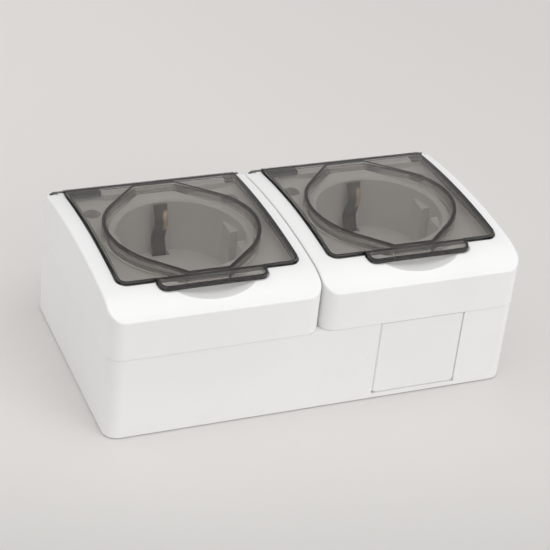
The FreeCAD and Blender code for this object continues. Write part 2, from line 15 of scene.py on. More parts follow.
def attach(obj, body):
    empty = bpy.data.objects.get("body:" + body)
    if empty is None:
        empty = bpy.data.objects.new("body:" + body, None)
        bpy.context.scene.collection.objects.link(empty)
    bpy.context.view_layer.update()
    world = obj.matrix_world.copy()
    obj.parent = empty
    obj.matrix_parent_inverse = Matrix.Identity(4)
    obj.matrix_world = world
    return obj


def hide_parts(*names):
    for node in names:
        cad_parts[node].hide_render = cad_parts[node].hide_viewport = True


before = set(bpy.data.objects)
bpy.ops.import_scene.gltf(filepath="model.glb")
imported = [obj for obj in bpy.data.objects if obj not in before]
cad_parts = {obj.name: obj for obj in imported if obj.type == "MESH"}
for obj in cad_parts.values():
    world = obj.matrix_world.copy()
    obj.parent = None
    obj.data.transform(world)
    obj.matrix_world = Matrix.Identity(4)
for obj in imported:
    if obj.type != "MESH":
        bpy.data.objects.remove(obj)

LOG = logging.getLogger("outdoor_socket")
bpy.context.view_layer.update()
MM = 0.001

# Where the two outlets stand along X
PITCH = 65.9 * MM
SHIFT = 0.85 * MM

Point = Tuple[float, float]
Span = Tuple[float, float]
Place = Tuple[float, float, float]
Colour = Tuple[float, float, float]
Number = Union[float, "Value"]


class Side(Enum):
    """Which outlet a piece belongs to."""

    LEFT = "left"
    RIGHT = "right"

    @property
    def x(self) -> float:
        """Centre of the outlet along X."""
        return SHIFT + (-PITCH / 2 if self is Side.LEFT else PITCH / 2)


# Shader graphs


class Value:
    """An output in a graph that ordinary arithmetic works on."""

    def __init__(self, graph: "Graph", socket: bpy.types.NodeSocket) -> None:
        """Keep the graph and the socket.

        Args:
            graph: the graph the socket is in.
            socket: an output socket.
        """
        self.graph = graph
        self.socket = socket

    def _math(self, operation: str, first: Number, second: Number) -> "Value":
        """One Math node on two numbers."""
        return self.graph.node("ShaderNodeMath", {"operation": operation}, {0: first, 1: second})

    def __add__(self, other: Number) -> "Value":
        """Sum."""
        return self._math("ADD", self, other)

    def __radd__(self, other: Number) -> "Value":
        """Sum, number first."""
        return self._math("ADD", other, self)

    def __sub__(self, other: Number) -> "Value":
        """Difference."""
        return self._math("SUBTRACT", self, other)

    def __rsub__(self, other: Number) -> "Value":
        """Difference, number first."""
        return self._math("SUBTRACT", other, self)

    def __mul__(self, other: Number) -> "Value":
        """Product."""
        return self._math("MULTIPLY", self, other)

    def __rmul__(self, other: Number) -> "Value":
        """Product, number first."""
        return self._math("MULTIPLY", other, self)

    def __truediv__(self, other: Number) -> "Value":
        """Quotient."""
        return self._math("DIVIDE", self, other)

    def __rtruediv__(self, other: Number) -> "Value":
        """Quotient, number first."""
        return self._math("DIVIDE", other, self)

    def below(self, limit: Number) -> "Value":
        """1 where this is under the limit, else 0."""
        return self._math("LESS_THAN", self, limit)

    def least(self, other: Number) -> "Value":
        """The smaller of two."""
        return self._math("MINIMUM", self, other)

    def ramp(self, low: float, high: float) -> "Value":
        """0 at low, 1 at high, smooth between them."""
        return self.graph.node(
            "ShaderNodeMapRange",
            {"interpolation_type": "SMOOTHSTEP"},
            {"Value": self, "From Min": low, "From Max": high},
        )


class Graph:
    """A new material or world and the nodes put in it."""

    def __init__(self, name: str, world: bool = False) -> None:
        """Start an empty material or world.

        Args:
            name: its name.
            world: whether it is a world.
        """
        self.owner = (bpy.data.worlds if world else bpy.data.materials).new(name)
        self.ending = "ShaderNodeOutputWorld" if world else "ShaderNodeOutputMaterial"
        self.owner.use_nodes = True
        self.tree = self.owner.node_tree
        self.tree.nodes.clear()
        self.place = self.node("ShaderNodeTexCoord", output="Object")

    def add(
        self,
        kind: str,
        settings: Optional[Dict[str, Any]] = None,
        inputs: Optional[Dict[Union[int, str], Any]] = None,
    ) -> bpy.types.Node:
        """Add one node.

        Args:
            kind: the node's type.
            settings: its own properties.
            inputs: a number, colour or Value for each input, by name or place.

        Returns:
            The node.
        """
        made = self.tree.nodes.new(kind)
        for key, value in (settings or {}).items():
            setattr(made, key, value)
        for key, value in (inputs or {}).items():
            if isinstance(value, Value):
                self.tree.links.new(value.socket, made.inputs[key])
            else:
                made.inputs[key].default_value = value
        return made

    def node(
        self,
        kind: str,
        settings: Optional[Dict[str, Any]] = None,
        inputs: Optional[Dict[Union[int, str], Any]] = None,
        output: Union[int, str] = 0,
    ) -> Value:
        """Add one node and hand back one of its outputs.

        Args:
            kind: the node's type.
            settings: its own properties.
            inputs: a number, colour or Value for each input, by name or place.
            output: the output to hand back.

        Returns:
            The chosen output.
        """
        return Value(self, self.add(kind, settings, inputs).outputs[output])

    def noise(self, scale: float, detail: float = 2.0) -> Value:
        """Noise from 0 to 1 on the object's own place."""
        return self.node(
            "ShaderNodeTexNoise", {}, {"Vector": self.place, "Scale": scale, "Detail": detail}
        )

    def stretched(self, along: Place, scale: float, detail: float = 2.0) -> Value:
        """Noise drawn out by a factor along each axis."""
        place = self.node("ShaderNodeMapping", {}, {"Vector": self.place, "Scale": along})
        return self.node(
            "ShaderNodeTexNoise", {}, {"Vector": place, "Scale": scale, "Detail": detail}
        )

    def blend(self, share: Number, first: Any, second: Any) -> Value:
        """Mix of two colours."""
        return self.node(
            "ShaderNodeMix",
            {"data_type": "RGBA"},
            {0: share, 6: self._colour(first), 7: self._colour(second)},
            output=2,
        )

    def bump(self, height: Number, strength: float, distance: float) -> Value:
        """Normal bent by a height."""
        return self.node(
            "ShaderNodeBump", {}, {"Height": height, "Strength": strength, "Distance": distance}
        )

    def axes(self) -> Tuple[Value, Value, Value]:
        """The object's own X, Y and Z."""
        split = self.add("ShaderNodeSeparateXYZ", {}, {0: self.place})
        return tuple(Value(self, output) for output in split.outputs)

    def shade(self, kind: str, **inputs: Any) -> Value:
        """A shader node, its inputs named with _ for a space."""
        named = {key.replace("_", " "): self._colour(value) for key, value in inputs.items()}
        return self.node(kind, {}, named)

    def towards(self, way: Place, span: Span) -> Value:
        """A soft round patch about a direction from the origin.

        Args:
            way: the direction.
            span: the dot product at the patch's edge, and from where it is full.

        Returns:
            0 outside the patch to 1 in its middle.
        """
        along = self.node(
            "ShaderNodeVectorMath", {"operation": "DOT_PRODUCT"}, {0: self.place, 1: way}, "Value"
        )
        return along.ramp(*span)

    def mix(self, share: Value, first: Value, second: Value) -> Value:
        """Mix of two shaders."""
        return self.node("ShaderNodeMixShader", {}, {0: share, 1: first, 2: second})

    def close(self, surface: Value, volume: Optional[Value] = None) -> Any:
        """Join the shaders to the output.

        Args:
            surface: the surface's shader.
            volume: the depth's shader, where there is one.

        Returns:
            The material or world.
        """
        inputs: Dict[Union[int, str], Any] = {"Surface": surface}
        if volume is not None:
            inputs["Volume"] = volume
        self.add(self.ending, {}, inputs)
        return self.owner

    @staticmethod
    def _colour(value: Any) -> Any:
        """Give a three-part colour its alpha.

        Args:
            value: what goes to a node's input.

        Returns:
            The value, unchanged unless it is such a colour.
        """
        if isinstance(value, tuple) and len(value) == 3:
            return (*value, 1.0)
        return value


# Finishes


@dataclass(frozen=True)
class Moulded:
    """White moulded plastic with a faint cloudiness, a fine spark texture and rare dust."""

    name: str
    colour: Colour
    rough: float = 0.34
    grain: float = 0.05
    dust: float = 0.0
    cloud_scale: float = 38.0
    cloud_detail: float = 3.0
    cloud_span: Span = (0.35, 0.75)
    cloud_shade: float = 0.975
    cloud_rough: float = 0.07
    grain_scale: float = 2600.0
    grain_depth: float = 0.06 * MM
    speck_scale: float = 900.0
    speck_size: float = 0.16
    speck_colour: Colour = (0.33, 0.30, 0.26)
    patch_scale: float = 210.0
    patch_span: Span = (0.66, 0.72)
    ior: float = 1.5

    def specks(self, g: Graph) -> Value:
        """Small specks of dust in rare patches.

        Args:
            g: the material's graph.

        Returns:
            The dust's cover, from 0 to 1.
        """
        cells = g.node(
            "ShaderNodeTexVoronoi",
            {"feature": "F1"},
            {"Vector": g.place, "Scale": self.speck_scale, "Randomness": 1.0},
            output="Distance",
        )
        rare = g.noise(self.patch_scale, 1.0).ramp(*self.patch_span)
        return cells.below(self.speck_size) * rare * self.dust

    def make(self) -> bpy.types.Material:
        """Build the material.

        Returns:
            The material.
        """
        g = Graph(self.name)
        cloud = g.noise(self.cloud_scale, self.cloud_detail)
        tone = tuple(c * self.cloud_shade for c in self.colour)
        colour = g.blend(cloud.ramp(*self.cloud_span), self.colour, tone)
        if self.dust > 0:
            colour = g.blend(self.specks(g), colour, self.speck_colour)
        return g.close(
            g.shade(
                "ShaderNodeBsdfPrincipled",
                Base_Color=colour,
                Roughness=cloud * self.cloud_rough + self.rough,
                Normal=g.bump(g.noise(self.grain_scale), self.grain, self.grain_depth),
                IOR=self.ior,
            )
        )


@dataclass(frozen=True)
class SmokyClear:
    """Smoky clear plastic: light is lost in its depth, and fine scratches catch the light."""

    name: str
    tint: Colour = (0.545, 0.47, 0.375)
    density: float = 220.0
    rough: float = 0.015
    ior: float = 1.585
    wave_scale: float = 55.0
    wave: float = 0.02
    wave_depth: float = 0.4 * MM
    scratch_along: Place = (1.0, 0.12, 1.0)
    scratch_scale: float = 900.0
    scratch_span: Span = (0.74, 0.8)
    scratch_rough: float = 0.05

    def make(self) -> bpy.types.Material:
        """Build the material.

        Returns:
            The material.
        """
        g = Graph(self.name)
        wave = g.noise(self.wave_scale, 1.0)
        scratch = g.stretched(self.scratch_along, self.scratch_scale, 1.0)
        surface = g.shade(
            "ShaderNodeBsdfPrincipled",
            Base_Color=(1.0, 1.0, 1.0),
            Roughness=scratch.ramp(*self.scratch_span) * self.scratch_rough + self.rough,
            Normal=g.bump(wave, self.wave, self.wave_depth),
            IOR=self.ior,
            Transmission_Weight=1.0,
        )
        volume = g.shade("ShaderNodeVolumeAbsorption", Color=self.tint, Density=self.density)
        return g.close(surface, volume)


@dataclass(frozen=True)
class PaintedShadeSheet:
    """Painted shade: a dark sheet, a little see-through and softly streaked, that stands in for
    the shade seen along the smoky lid's walls and edges.
    """

    name: str
    colour: Colour
    cover: float
    streak_along: Place = (1.0, 1.0, 0.2)
    streak_scale: float = 300.0
    streak_span: Span = (0.35, 0.7)
    streak_shade: float = 1.6
    streak_rough: float = 0.1
    streak_cover: float = 0.06
    rough: float = 0.4
    gloss: float = 0.1

    def make(self) -> bpy.types.Material:
        """Build the material.

        Returns:
            The material.
        """
        g = Graph(self.name)
        streak = g.stretched(self.streak_along, self.streak_scale)
        pale = tuple(c * self.streak_shade for c in self.colour)
        # painted shade: a dark colour that partly covers the view where the lid shows only shade
        solid = g.shade(
            "ShaderNodeBsdfPrincipled",
            Base_Color=g.blend(streak.ramp(*self.streak_span), self.colour, pale),
            Roughness=streak * self.streak_rough + self.rough,
            Specular_IOR_Level=self.gloss,
        )
        clear = g.shade("ShaderNodeBsdfTransparent", Color=(1.0, 1.0, 1.0))
        return g.close(g.mix(streak * self.streak_cover + self.cover, clear, solid))


@dataclass(frozen=True)
class Metal:
    """Plain metal with drawn marks along one axis and duller patches."""

    name: str
    colour: Colour
    rough: float
    along: Place = (1.0, 1.0, 1.0)
    mark_scale: float = 1500.0
    mark_rough: float = 0.14
    mark: float = 0.12
    mark_depth: float = 0.04 * MM
    patch_scale: float = 180.0
    patch_detail: float = 3.0
    patch_span: Span = (0.4, 0.7)
    patch_shade: float = 0.72
    patch_rough: float = 0.1

    def make(self) -> bpy.types.Material:
        """Build the material.

        Returns:
            The material.
        """
        g = Graph(self.name)
        marks = g.stretched(self.along, self.mark_scale)
        patch = g.noise(self.patch_scale, self.patch_detail)
        dull = tuple(c * self.patch_shade for c in self.colour)
        return g.close(
            g.shade(
                "ShaderNodeBsdfPrincipled",
                Base_Color=g.blend(patch.ramp(*self.patch_span), self.colour, dull),
                Metallic=1.0,
                Roughness=marks * self.mark_rough + patch * self.patch_rough + self.rough,
                Normal=g.bump(marks, self.mark, self.mark_depth),
            )
        )


@dataclass(frozen=True)
class PaintedHighlightStrip:
    """Dark sprung bronze with a painted highlight: lighter bronze on one side of its bulge."""

    name: str
    middle: float
    dark: Colour = (0.06, 0.047, 0.037)
    # painted highlight: its colour, height, reach, side and patchiness
    highlight_colour: Colour = (0.62, 0.47, 0.33)
    highlight_z: float = 37.4 * MM
    highlight_reach: float = 4.4 * MM
    highlight_side: Span = (-0.9 * MM, 1.1 * MM)
    highlight_least: float = 0.35
    highlight_span: Span = (0.2, 0.75)
    patch_scale: float = 420.0
    patch_detail: float = 3.0
    mark_along: Place = (1.0, 1.0, 0.06)
    mark_scale: float = 1500.0
    mark_rough: float = 0.12
    mark: float = 0.12
    mark_depth: float = 0.04 * MM
    rough: float = 0.36

    def painted_highlight(self, g: Graph) -> Value:
        """Where a highlight is painted on the strip: round the bulge's height, on its right side,
        in patches.

        Args:
            g: the material's graph.

        Returns:
            0 where it is dark to 1 where the painted highlight is full.
        """
        # painted highlight: strongest at the bulge's height and on the strip's right side
        x, _, z = g.axes()
        away = (z - self.highlight_z) / self.highlight_reach
        height = 1.0 - (away * away).least(1.0)
        side = (x - self.middle).ramp(*self.highlight_side)
        patch = g.noise(self.patch_scale, self.patch_detail) + self.highlight_least
        return (height * side * patch).ramp(*self.highlight_span)

    def make(self) -> bpy.types.Material:
        """Build the material.

        Returns:
            The material.
        """
        g = Graph(self.name)
        marks = g.stretched(self.mark_along, self.mark_scale)
        return g.close(
            g.shade(
                "ShaderNodeBsdfPrincipled",
                # painted highlight blended into the dark bronze
                Base_Color=g.blend(self.painted_highlight(g), self.dark, self.highlight_colour),
                Metallic=1.0,
                Roughness=marks * self.mark_rough + self.rough,
                Normal=g.bump(marks, self.mark, self.mark_depth),
            )
        )


@dataclass(frozen=True)
class SealRubber:
    """Soft dark rubber with a dusty bloom."""

    name: str
    colour: Colour = (0.03, 0.03, 0.031)
    bloom_scale: float = 120.0
    bloom_detail: float = 3.0
    bloom_span: Span = (0.5, 0.8)
    bloom_pale: float = 0.05
    bloom_rough: float = 0.15
    rough: float = 0.68
    grain_scale: float = 1800.0
    grain: float = 0.2
    grain_depth: float = 0.08 * MM

    def make(self) -> bpy.types.Material:
        """Build the material.

        Returns:
            The material.
        """
        g = Graph(self.name)
        bloom = g.noise(self.bloom_scale, self.bloom_detail)
        pale = tuple(c + self.bloom_pale for c in self.colour)
        return g.close(
            g.shade(
                "ShaderNodeBsdfPrincipled",
                Base_Color=g.blend(bloom.ramp(*self.bloom_span), self.colour, pale),
                Roughness=bloom * self.bloom_rough + self.rough,
                Normal=g.bump(g.noise(self.grain_scale), self.grain, self.grain_depth),
            )
        )


@dataclass(frozen=True)
class FloorPaper:
    """Plain pale floor with painted shade: its colour grows a little darker to the right and
    close to the camera.
    """

    name: str
    left: Colour
    right: Colour
    near_shade: Colour
    side_span: Span = (-0.12, 0.26)
    near_shade_span: Span = (-0.16, -0.04)
    near_shade_slant: float = 0.3
    rough: float = 0.9
    gloss: float = 0.2

    def make(self) -> bpy.types.Material:
        """Build the material.

        Returns:
            The material.
        """
        g = Graph(self.name)
        x, y, _ = g.axes()
        # painted shade: the floor's colour darker to the right
        colour = g.blend(x.ramp(*self.side_span), self.left, self.right)
        # painted shade: the floor's colour darker close to the camera
        far = (y + x * self.near_shade_slant).ramp(*self.near_shade_span)
        return g.close(
            g.shade(
                "ShaderNodeBsdfPrincipled",
                Base_Color=g.blend(far, self.near_shade, colour),
                Roughness=self.rough,
                Specular_IOR_Level=self.gloss,
            )
        )


class Finishes:
    """Every finish, made once."""

    def __init__(self) -> None:
        """Make the materials."""
        self.cover = Moulded("cover_white", (0.86, 0.862, 0.865), 0.32).make()
        self.base = Moulded("base_white", (0.85, 0.85, 0.848), 0.36, dust=0.25).make()
        self.entry = Moulded("entry_white", (0.84, 0.842, 0.84), 0.4, dust=0.8).make()
        self.block = Moulded("insulator", (0.70, 0.68, 0.62), 0.5, grain=0.12).make()
        self.smoky = SmokyClear("smoky_clear").make()
        # painted shade: dark sheets inside the smoky lids, from nearly solid to thin
        self.deep_shade = PaintedShadeSheet("smoky_painted_shade_deep", (0.03, 0.026, 0.024), cover=0.88).make()
        thin_shade = (0.05, 0.045, 0.04)
        self.wall = PaintedShadeSheet("smoky_painted_shade_wall", thin_shade, cover=0.2).make()
        self.stop = PaintedShadeSheet("smoky_painted_shade_stop", thin_shade, cover=0.55).make()
        self.rim = PaintedShadeSheet("smoky_painted_shade_rim", thin_shade, cover=0.4).make()
        self.screw = Metal("screw_steel", (0.45, 0.45, 0.44), 0.3).make()
        self.wire = Metal("wire_steel", (0.17, 0.165, 0.16), 0.34, (0.05, 1.0, 1.0)).make()
        # bronze with a painted highlight on each strap's bulge
        self.strap = {
            side: PaintedHighlightStrip(f"bronze_strip_{side.value}", side.x).make() for side in Side
        }
        self.brass = Metal("pressed_brass", (0.72, 0.53, 0.24), 0.26, (1.0, 0.06, 1.0)).make()
        self.seal = SealRubber("seal_rubber").make()
        # painted shade: the right and near colours are darker than the left one
        self.floor = FloorPaper(
            "floor_paper",
            left=(0.722, 0.705, 0.691),
            right=(0.647, 0.632, 0.62),
            near_shade=(0.553, 0.545, 0.536),
        ).make()


# Mesh helpers


def dress(obj: bpy.types.Object, material: bpy.types.Material) -> bpy.types.Object:
    """Give an object one material.

    Args:
        obj: the object.
        material: its material.

    Returns:
        The object.
    """
    obj.data.materials.clear()
    obj.data.materials.append(material)
    return obj


def node(name: str) -> bpy.types.Object:
    """A CAD node's object."""
    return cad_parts[name]


def joined_copy(name: str, merge: float = 0.002 * MM, flat: float = 0.5) -> bmesh.types.BMesh:
    """A CAD node's mesh as one closed skin with its flat faces whole.

    Args:
        name: the CAD node.
        merge: the distance under which two corners are one.
        flat: the angle in degrees under which two faces are one.

    Returns:
        A new bmesh.
    """
    bm = bmesh.new()
    bm.from_mesh(node(name).data)
    bmesh.ops.remove_doubles(bm, verts=bm.verts, dist=merge)
    bmesh.ops.dissolve_limit(
        bm,
        angle_limit=math.radians(flat),
        use_dissolve_boundaries=False,
        verts=bm.verts,
        edges=bm.edges,
        delimit={"NORMAL"},
    )
    return bm


def finish_mesh(bm: bmesh.types.BMesh, name: str, smooth: float) -> bpy.types.Object:
    """Turn a bmesh into a linked object, smooth up to an angle.

    Args:
        bm: the mesh, freed here.
        name: the piece's name.
        smooth: the angle in degrees past which an edge stays sharp.

    Returns:
        The object, at the origin.
    """
    for face in bm.faces:
        face.smooth = True
    for edge in bm.edges:
        edge.smooth = not (
            len(edge.link_faces) == 2 and edge.calc_face_angle(0.0) > math.radians(smooth)
        )
    mesh = bpy.data.meshes.new(name)
    bm.to_mesh(mesh)
    bm.free()
    obj = bpy.data.objects.new(name, mesh)
    bpy.context.scene.collection.objects.link(obj)
    return obj


def arc_points(
    cx: float, cy: float, r: float, start: float, end: float, steps: int
) -> List[Point]:
    """Points on a plan arc, both ends included.

    Args:
        cx: the centre's first part.
        cy: the centre's second part.
        r: the radius.
        start: the first point's angle in degrees.
        end: the last point's angle in degrees.
        steps: the steps between the points.

    Returns:
        The points.
    """
    turn = [math.radians(start + (end - start) * i / steps) for i in range(steps + 1)]
    return [(cx + r * math.cos(a), cy + r * math.sin(a)) for a in turn]


def band(
    name: str,
    lines: Sequence[Sequence[Place]],
    shift: Place,
    closed: bool = False,
    smooth: float = 40.0,
) -> bpy.types.Object:
    """A closed band: the strip between two lines, drawn out along a way.

    Args:
        name: the piece's name.
        lines: the strip's two lines, point for point.
        shift: how far and which way the strip is drawn out.
        closed: whether the lines close on themselves.
        smooth: the angle in degrees past which an edge stays sharp.

    Returns:
        The object.
    """
    bm = bmesh.new()
    edges = []
    for line in lines:
        verts = [bm.verts.new(place) for place in line]
        pairs = list(zip(verts, verts[1:]))
        if closed:
            pairs.append((verts[-1], verts[0]))
        edges += [bm.edges.new(pair) for pair in pairs]
    bmesh.ops.bridge_loops(bm, edges=edges)
    drawn = bmesh.ops.extrude_face_region(bm, geom=bm.faces[:])["geom"]
    drawn_verts = [v for v in drawn if isinstance(v, bmesh.types.BMVert)]
    bmesh.ops.translate(bm, verts=drawn_verts, vec=shift)
    bmesh.ops.recalc_face_normals(bm, faces=bm.faces)
    return finish_mesh(bm, name, smooth)


def smooth_line(points: Sequence[Point], steps: int) -> List[Point]:
    """A smooth line through points.

    Args:
        points: the points to pass.
        steps: the steps between neighbours.

    Returns:
        Points along the line.
    """
    ends = [points[0]] + list(points) + [points[-1]]
    line: List[Point] = []
    for four in zip(ends, ends[1:], ends[2:], ends[3:]):
        for i in range(steps):
            t = i / steps
            # the cubic that passes the middle two of four points
            weights = (
                -0.5 * t + t * t - 0.5 * t ** 3,
                1.0 - 2.5 * t * t + 1.5 * t ** 3,
                0.5 * t + 2.0 * t * t - 1.5 * t ** 3,
                -0.5 * t * t + 0.5 * t ** 3,
            )
            line.append(tuple(sum(w * p[k] for w, p in zip(weights, four)) for k in (0, 1)))
    return line + [points[-1]]


# Sub-assemblies


@dataclass
class Housing:
    """Base box, seal, cable entry plate and the bead in the plate's gap."""

    finishes: Finishes
    plate_half: float = 14.05 * MM
    plate_low: float = 1.6 * MM
    plate_high: float = 27.0 * MM
    plate_corner: float = 1.5 * MM
    corner_steps: int = 6
    bead_sides: Span = (0.015 * MM, 0.105 * MM)
    bead_front: float = -37.78 * MM
    bead_depth: float = 1.6 * MM

    def build(self) -> List[str]:
        """Dress the base's nodes and add the bead.

        Returns:
            The pieces' names.
        """
        dress(node("base_box"), self.finishes.base)
        dress(node("cable_entry_plate"), self.finishes.entry)
        dress(node("box_seal"), self.finishes.seal)
        bead = dress(self.bead(), self.finishes.entry)
        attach(bead, "housing")
        return ["base_box", "cable_entry_plate", "box_seal", bead.name]

    def bead(self) -> bpy.types.Object:
        """Fine white bead in the entry plate's gap, under the plate and at its right."""
        lines = [
            [(x, self.bead_front, z) for x, z in self.bead_line(out)] for out in self.bead_sides
        ]
        return band("entry_bead", lines, (0.0, self.bead_depth, 0.0))

    def bead_line(self, out: float) -> List[Point]:
        """The bead's line in the front wall.

        Args:
            out: how far outside the plate's edge it runs.

        Returns:
            Points as x and z, from the lower left corner to the upper right one.
        """
        r = self.plate_corner
        left = Side.RIGHT.x - self.plate_half
        right = Side.RIGHT.x + self.plate_half
        line: List[Point] = [(left + r, self.plate_low - out)]
        line += arc_points(
            right - r, self.plate_low + r, r + out, 270.0, 360.0, self.corner_steps
        )
        return line + [(right + out, self.plate_high)]


@dataclass
class Outlet:
    """One outlet: cover, well, mechanism block, contacts and hinge wire."""

    side: Side
    finishes: Finishes

    def build(self) -> List[str]:
        """Dress the outlet's nodes.

        Returns:
            The pieces' names.
        """
        s = self.side.value
        f = self.finishes
        looks = {
            f"cover_{s}": f.cover,
            f"well_insert_{s}": f.cover,
            f"mechanism_block_{s}": f.block,
            f"hinge_wire_{s}": f.wire,
            f"live_contact_{s}": f.brass,
            f"neutral_contact_{s}": f.brass,
        }
        for name, material in looks.items():
            dress(node(name), material)
        return list(looks)


@dataclass(frozen=True)
class ShadeBand:
    """A band of painted shade in the lid.

    Its line is drawn at a distance inside an outer face, and insets holds that distance for each
    of its two sides. Its upper face lies top below the lid's arched top.
    """

    label: str
    line: Callable[[float], List[Point]]
    insets: Span
    top: float
    height: float
    look: bpy.types.Material
    closed: bool = False


@dataclass
class Lid:
    """One smoky lid and the bands of painted shade in it: at its skirt, rim, edges, hinge and
    rear blocks.
    """

    side: Side
    finishes: Finishes
    half: float = 28.0 * MM
    front: float = -26.4 * MM
    rear: float = 29.1 * MM
    top: float = 47.5 * MM
    arc: float = 255.0 * MM
    crown_y: float = -3.0 * MM
    corner: float = 3.0 * MM
    corner_steps: int = 6
    rim_end: float = 3.4 * MM
    tab_half: float = 16.75 * MM
    tab_front: float = -31.0 * MM
    tab_corner: float = 2.6 * MM
    skirt_r: float = 24.1 * MM
    skirt_steps: int = 16
    skirt_flat: float = 6.6 * MM
    flat_taper: float = 0.35
    skirt_front: float = 25.9 * MM
    skirt_rear: float = 26.9 * MM
    ring_rear: float = 28.7 * MM
    hinge_back: float = 30.0 * MM
    stop_x: Tuple[Span, Span] = ((-27.7 * MM, -17.3 * MM), (23.7 * MM, 27.7 * MM))
    stop_back: float = 28.6 * MM
    stop_foot: float = 43.0 * MM
    stop_clear: float = 0.4 * MM
    gap: float = 0.1 * MM
    smooth: float = 30.0

    def height(self, y: float) -> float:
        """Height of the lid's arched top."""
        return self.top - self.arc + math.sqrt(self.arc ** 2 - (y - self.crown_y) ** 2)

    def front_corners(self, x: float, y: float, r: float) -> Tuple[List[Point], List[Point]]:
        """The rounded front corners of a plate.

        Args:
            x: its half width.
            y: its front edge.
            r: the corners' radius.

        Returns:
            The left corner's points and the right corner's, both from left to right.
        """
        left = arc_points(-x + r, y + r, r, 180.0, 270.0, self.corner_steps)
        right = arc_points(x - r, y + r, r, 270.0, 360.0, self.corner_steps)
        return left, right

    def edge_line(self, inset: float) -> List[Point]:
        """The lid's edge without its tab.

        Args:
            inset: the distance inside the outer face.

        Returns:
            Points from the tab's right root by the rear to its left one.
        """
        x, y, back = self.half - inset, self.front + inset, self.rear - inset
        root = self.tab_half - inset
        left, right = self.front_corners(x, y, self.corner - inset)
        return [(root, y)] + right + [(x, back), (-x, back)] + left + [(-root, y)]

    def tab_line(self, inset: float) -> List[Point]:
        """The grip tab's edge.

        Args:
            inset: the distance inside the outer face.

        Returns:
            Points from its left root to its right one.
        """
        x = self.tab_half - inset
        left, right = self.front_corners(x, self.tab_front + inset, self.tab_corner - inset)
        return [(-x, self.front)] + left + right + [(x, self.front)]

    def rim_line(self, inset: float) -> List[Point]:
        """The hanging rim at the sides and the front.

        Args:
            inset: the distance inside the outer face.

        Returns:
            Points from its rear left end to its rear right one.
        """
        x, back = self.half - inset, self.rear - self.rim_end
        left, right = self.front_corners(x, self.front + inset, self.corner - inset)
        return [(-x, back)] + left + right + [(x, back)]

    def skirt_loop(self, inset: float, rear: float) -> List[Point]:
        """The skirt's line: round, with a short flat at the rear and one at the front.

        Args:
            inset: the distance inside its outer face.
            rear: how far back the rear flat of that face lies.

        Returns:
            Points round the loop, from its right side by the rear and the front.
        """
        r = self.skirt_r - inset
        half = self.skirt_flat - self.flat_taper * inset
        steps = self.skirt_steps
        loop: List[Point] = []
        for behind, flat in ((True, rear - inset), (False, self.skirt_front - inset)):
            lean = math.atan2(flat, half) - math.acos(r / math.hypot(half, flat))
            lean = math.degrees(lean)
            if behind:
                loop += arc_points(0.0, 0.0, r, 0.0, lean, steps)
                loop += [(half, flat), (-half, flat)]
                loop += arc_points(0.0, 0.0, r, 180.0 - lean, 180.0, steps)
            else:
                loop += arc_points(0.0, 0.0, r, 180.0, 180.0 + lean, steps)[1:]
                loop += [(-half, -flat), (half, -flat)]
                loop += arc_points(0.0, 0.0, r, 360.0 - lean, 360.0, steps)[:-1]
        return loop

    def ring_line(self, inset: float) -> List[Point]:
        """The line that the skirt draws on the lid, which reaches the hinge."""
        return self.skirt_loop(inset, self.ring_rear)

    def wall_line(self, inset: float) -> List[Point]:
        """The skirt's line, open at its rear flat.

        Args:
            inset: the distance inside the outer face.

        Returns:
            Points from the flat's left end round to its right one.
        """
        loop = self.skirt_loop(inset, self.skirt_rear)
        cut = self.skirt_steps + 2
        return loop[cut:] + loop[:cut]

    def hinge_line(self, inset: float) -> List[Point]:
        """A line along the hinge barrel, from left to right."""
        x = self.half - self.gap
        return [(-x, self.hinge_back - inset), (x, self.hinge_back - inset)]

    def stop_line(self, ends: Span, inset: float) -> List[Point]:
        """A line along a rear block, from left to right."""
        y = self.stop_back - inset
        return [(ends[0] + self.gap, y), (ends[1] - self.gap, y)]

    def shade_bands(self) -> List[ShadeBand]:
        """Every band of painted shade: the ring, edges, walls, hinge line and rear blocks.

        Returns:
            The bands, in the order they are built.
        """
        f = self.finishes
        stop_top = self.height(self.stop_back - self.gap)
        stop_height = stop_top - self.stop_foot - self.stop_clear
        long_stop, short_stop = (partial(self.stop_line, ends) for ends in self.stop_x)
        # painted shade: dark sheets where the lid shows only shade, along its ring, edges, tab,
        # walls, hinge and rear blocks
        return [
            ShadeBand("skirt_painted_shade", self.ring_line, (0.15 * MM, 1.15 * MM), top=0.1 * MM,
                  height=0.14 * MM, look=f.deep_shade, closed=True),
            ShadeBand("edge_painted_shade", self.edge_line, (0.12 * MM, 0.55 * MM), top=0.25 * MM,
                  height=0.55 * MM, look=f.deep_shade),
            ShadeBand("tab_painted_shade", self.tab_line, (0.12 * MM, 0.75 * MM), top=0.2 * MM,
                  height=0.85 * MM, look=f.deep_shade),
            ShadeBand("skirt_wall_painted_shade", self.wall_line, (0.6 * MM, 0.8 * MM), top=1.3 * MM,
                  height=2.3 * MM, look=f.wall),
            ShadeBand("rim_wall_painted_shade", self.rim_line, (0.5 * MM, 0.7 * MM), top=1.0 * MM,
                  height=1.8 * MM, look=f.rim),
            ShadeBand("hinge_painted_shade", self.hinge_line, (0.0, 1.3 * MM), top=0.3 * MM,
                  height=0.75 * MM, look=f.deep_shade),
            ShadeBand("long_stop_painted_shade", long_stop, (0.1 * MM, 2.6 * MM), top=0.3 * MM,
                  height=stop_height, look=f.stop),
            ShadeBand("short_stop_painted_shade", short_stop, (0.1 * MM, 2.6 * MM), top=0.3 * MM,
                  height=stop_height, look=f.wall),
        ]

